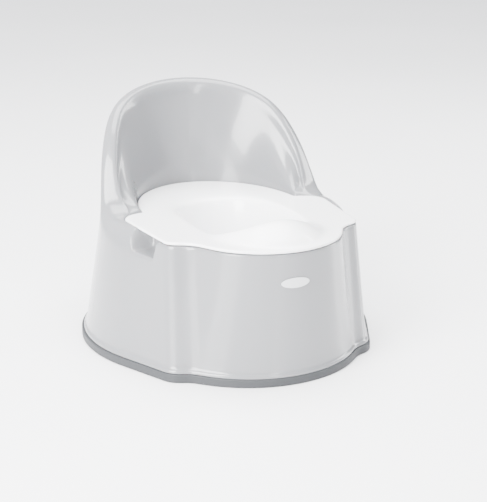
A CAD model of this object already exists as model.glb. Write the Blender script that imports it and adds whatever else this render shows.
import math

import bpy
from mathutils import Matrix, Vector

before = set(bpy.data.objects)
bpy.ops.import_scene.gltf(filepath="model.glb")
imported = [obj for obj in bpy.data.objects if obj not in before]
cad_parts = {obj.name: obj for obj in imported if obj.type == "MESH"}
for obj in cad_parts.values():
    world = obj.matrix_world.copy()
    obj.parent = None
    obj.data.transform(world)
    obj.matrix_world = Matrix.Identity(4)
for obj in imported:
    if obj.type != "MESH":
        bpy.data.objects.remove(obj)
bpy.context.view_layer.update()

# The CAD pieces carry the shape; this scene gives them their plastics, a pale floor and a
# soft studio. Metres, in the CAD frame.

# camera at the photograph's viewing angle, fitted to its outlines
AIM = Vector((-0.0400, -0.1346, 0.1359))
CAMERA_AZIMUTH = math.radians(-23.3)
CAMERA_ELEVATION = math.radians(16.8)
CAMERA_DISTANCE = 1.2628
LENS = 90.1
SENSOR = 36

# floor and lamps
FLOOR_HALF = 8
LAMP_AIM = Vector((0, 0, 0.12))
SOFT_BOXES = [
    # name, place, width, height, power in watts
    ("left_box", (-1.6, -0.9, 1.0), 0.9, 1.8, 190),
    ("top_box", (0.1, 0.2, 2.2), 1.8, 1.8, 150),
    ("front_strip", (0.15, -2.3, 1.1), 0.25, 1.8, 26),
    ("right_strip", (1.7, 0.1, 0.8), 0.3, 1.4, 26),
]

# surroundings: dim where a direction turns away from BRIGHT_SIDE, bright where it turns to it
WALL_COLOUR = (0.96, 0.97, 1.0, 1)
BRIGHT_SIDE = (-0.72, 0.05, 0.69)
TURNED_AWAY = -0.5
TURNED_TO = 0.6
DIM_WALL = 0.45
BRIGHT_WALL = 3.2

SHELL_GREY = (0.17, 0.173, 0.180)
BOWL_WHITE = (0.90, 0.90, 0.91)
RING_GREY = (0.030, 0.032, 0.035)
BADGE_GREY = (0.52, 0.53, 0.54)
FLOOR_WHITE = (0.93, 0.93, 0.935)

# the range that noise mostly fills
NOISE_LOW = 0.3
NOISE_HIGH = 0.7

PLASTIC_IOR = 1.49
PLASTIC_SWAY = 0.15
COAT_ROUGHNESS = 0.06
GLOW_WEIGHT = 0.05
GLOW_DEPTH = 0.002
RUBBER_IOR = 1.45
FLOOR_SPECULAR = 0.35


# ---------------------------------------------------------------- materials


def start_material(name):
    material = bpy.data.materials.new(name)
    material.use_nodes = True
    tree = material.node_tree
    return material, tree, tree.nodes["Principled BSDF"]


def noise(tree, scale, detail):
    """Noise over the piece's own coordinates."""
    coordinates = tree.nodes.new("ShaderNodeTexCoord")
    texture = tree.nodes.new("ShaderNodeTexNoise")
    texture.inputs["Scale"].default_value = scale
    texture.inputs["Detail"].default_value = detail
    tree.links.new(coordinates.outputs["Object"], texture.inputs["Vector"])
    return texture.outputs["Fac"]


def spread_between(tree, factor, low, high):
    """Map noise onto the range from low to high."""
    remap = tree.nodes.new("ShaderNodeMapRange")
    remap.inputs["From Min"].default_value = NOISE_LOW
    remap.inputs["From Max"].default_value = NOISE_HIGH
    remap.inputs["To Min"].default_value = low
    remap.inputs["To Max"].default_value = high
    tree.links.new(factor, remap.inputs["Value"])
    return remap.outputs["Result"]


def tint(tree, factor, colour, shift):
    """Colour that wanders a little around its mean."""
    mix = tree.nodes.new("ShaderNodeMix")
    mix.data_type = "RGBA"
    mix.inputs["A"].default_value = (*(value * (1 - shift) for value in colour), 1)
    mix.inputs["B"].default_value = (*(value * (1 + shift) for value in colour), 1)
    tree.links.new(factor, mix.inputs["Factor"])
    return mix.outputs["Result"]


def grain(tree, factor, strength, depth):
    """Fine surface texture, as a bump of the given depth."""
    bump = tree.nodes.new("ShaderNodeBump")
    bump.inputs["Strength"].default_value = strength
    bump.inputs["Distance"].default_value = depth
    tree.links.new(factor, bump.inputs["Height"])
    return bump.outputs["Normal"]


def finish_surface(tree, shader, colour, roughness):
    tree.links.new(colour, shader.inputs["Base Color"])
    tree.links.new(roughness, shader.inputs["Roughness"])


def gloss_plastic(name, colour, roughness, coat):
    """Moulded polypropylene: glossy, with faint flow marks and a faint orange peel."""
    material, tree, shader = start_material(name)
    flow = noise(tree, scale=9, detail=2)
    peel = noise(tree, scale=160, detail=1)
    smoothest = roughness * (1 - PLASTIC_SWAY)
    roughest = roughness * (1 + PLASTIC_SWAY)
    finish_surface(
        tree,
        shader,
        tint(tree, flow, colour, shift=0.012),
        spread_between(tree, flow, smoothest, roughest),
    )
    tree.links.new(grain(tree, peel, strength=0.03, depth=0.0002), shader.inputs["Normal"])
    shader.inputs["IOR"].default_value = PLASTIC_IOR
    shader.inputs["Coat Weight"].default_value = coat
    shader.inputs["Coat Roughness"].default_value = COAT_ROUGHNESS
    shader.inputs["Subsurface Weight"].default_value = GLOW_WEIGHT
    shader.inputs["Subsurface Scale"].default_value = GLOW_DEPTH
    return material


def soft_rubber(name, colour):
    """Matt elastomer with a fine grain."""
    material, tree, shader = start_material(name)
    cloud = noise(tree, scale=40, detail=3)
    dots = noise(tree, scale=1400, detail=2)
    finish_surface(
        tree,
        shader,
        tint(tree, cloud, colour, shift=0.05),
        spread_between(tree, cloud, low=0.5, high=0.62),
    )
    tree.links.new(grain(tree, dots, strength=0.25, depth=0.0003), shader.inputs["Normal"])
    shader.inputs["IOR"].default_value = RUBBER_IOR
    return material


def satin_badge(name, colour):
    """Satin plastic with a fine, even grain."""
    material, tree, shader = start_material(name)
    fine = noise(tree, scale=600, detail=2)
    finish_surface(
        tree,
        shader,
        tint(tree, fine, colour, shift=0.02),
        spread_between(tree, fine, low=0.28, high=0.4),
    )
    tree.links.new(grain(tree, fine, strength=0.05, depth=0.0002), shader.inputs["Normal"])
    return material


def studio_floor(name, colour):
    """Smooth pale floor, nearly even."""
    material, tree, shader = start_material(name)
    cloud = noise(tree, scale=2, detail=1)
    finish_surface(
        tree,
        shader,
        tint(tree, cloud, colour, shift=0.004),
        spread_between(tree, cloud, low=0.3, high=0.34),
    )
    shader.inputs["Specular IOR Level"].default_value = FLOOR_SPECULAR
    return material


def dress(node, material):
    """Give a CAD node its finish. Its mesh and its place stay as they are."""
    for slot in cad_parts[node].material_slots:
        slot.material = material


# ---------------------------------------------------------------- stage


def place_object(name, data):
    item = bpy.data.objects.new(name, data)
    bpy.context.scene.collection.objects.link(item)
    return item


def lay_floor():
    side = FLOOR_HALF
    mesh = bpy.data.meshes.new("floor")
    corners = [(-side, -side, 0), (side, -side, 0), (side, side, 0), (-side, side, 0)]
    mesh.from_pydata(corners, [], [(0, 1, 2, 3)])
    floor = place_object("floor", mesh)
    floor.data.materials.append(studio_floor("floor_white", FLOOR_WHITE))


def soft_box(name, place, width, height, power):
    """Rectangular lamp that faces the chair."""
    data = bpy.data.lights.new(name, "AREA")
    data.shape = "RECTANGLE"
    data.size = width
    data.size_y = height
    data.energy = power
    lamp = place_object(name, data)
    lamp.location = place
    lamp.rotation_euler = (LAMP_AIM - lamp.location).to_track_quat("-Z", "Y").to_euler()


def studio_walls():
    """Surroundings that are bright above and on the left, and dimmer low on the right."""
    world = bpy.data.worlds.new("studio")
    world.use_nodes = True
    tree = world.node_tree
    background = tree.nodes["Background"]
    background.inputs["Color"].default_value = WALL_COLOUR
    coordinates = tree.nodes.new("ShaderNodeTexCoord")
    towards = tree.nodes.new("ShaderNodeVectorMath")
    towards.operation = "DOT_PRODUCT"
    towards.inputs[1].default_value = BRIGHT_SIDE
    strength = tree.nodes.new("ShaderNodeMapRange")
    strength.interpolation_type = "SMOOTHSTEP"
    strength.inputs["From Min"].default_value = TURNED_AWAY
    strength.inputs["From Max"].default_value = TURNED_TO
    strength.inputs["To Min"].default_value = DIM_WALL
    strength.inputs["To Max"].default_value = BRIGHT_WALL
    tree.links.new(coordinates.outputs["Generated"], towards.inputs[0])
    tree.links.new(towards.outputs["Value"], strength.inputs["Value"])
    tree.links.new(strength.outputs["Result"], background.inputs["Strength"])
    return world


def light_studio():
    for name, place, width, height, power in SOFT_BOXES:
        soft_box(name, place, width, height, power)
    bpy.context.scene.world = studio_walls()


def aim_camera():
    back = Vector((
        math.sin(CAMERA_AZIMUTH) * math.cos(CAMERA_ELEVATION),
        -math.cos(CAMERA_AZIMUTH) * math.cos(CAMERA_ELEVATION),
        math.sin(CAMERA_ELEVATION),
    ))
    right = Vector((math.cos(CAMERA_AZIMUTH), math.sin(CAMERA_AZIMUTH), 0))
    up = back.cross(right)
    data = bpy.data.cameras.new("camera")
    data.lens = LENS
    data.sensor_width = SENSOR
    camera = place_object("camera", data)
    turn = Matrix((right, up, back)).transposed().to_4x4()
    camera.matrix_world = Matrix.Translation(AIM + CAMERA_DISTANCE * back) @ turn
    bpy.context.scene.camera = camera


dress("chair_shell", gloss_plastic("shell_plastic", SHELL_GREY, roughness=0.2, coat=0.35))
dress("lift_out_bowl", gloss_plastic("bowl_plastic", BOWL_WHITE, roughness=0.22, coat=0.25))
dress("grip_ring", soft_rubber("grip_rubber", RING_GREY))
dress("front_badge", satin_badge("badge_plastic", BADGE_GREY))
lay_floor()
light_studio()
aim_camera()
